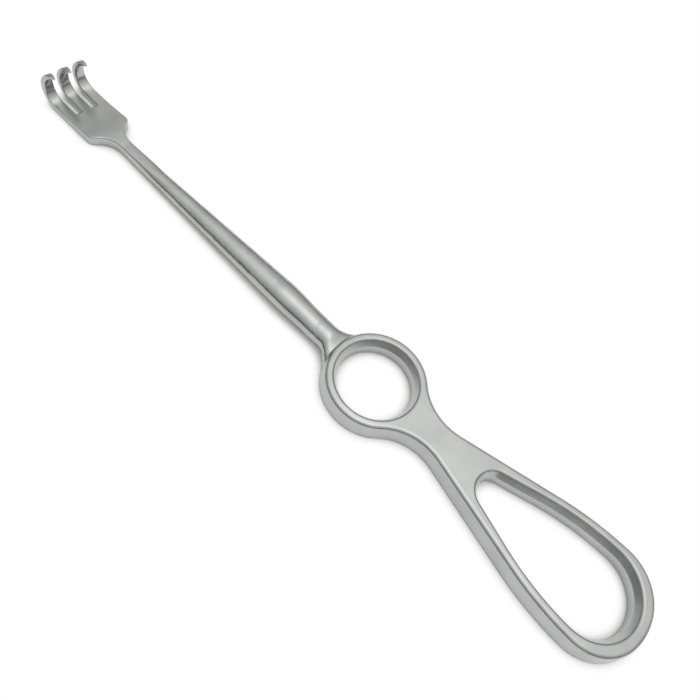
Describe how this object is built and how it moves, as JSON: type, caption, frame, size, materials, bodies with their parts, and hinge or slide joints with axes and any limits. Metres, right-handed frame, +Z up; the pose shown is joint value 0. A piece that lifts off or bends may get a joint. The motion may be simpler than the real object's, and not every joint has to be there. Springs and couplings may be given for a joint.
{
  "type": "handheld surgical retractor",
  "caption": "Flat teardrop grip with a finger ring, a tapering round shaft and a rake blade whose curved pronged end holds wound edges open.",
  "frame": {"origin": "on the table plane, under the middle of the instrument's length and width", "axes": "+X along the instrument towards the prongs, +Z up, the way the prongs point as it lies on its flat side"},
  "size_m": [0.217, 0.0304, 0.011],
  "materials": {
    "steel": "satin"
  },
  "bodies": {
    "root": {"retractor": "steel"}
  },
  "joints": []
}
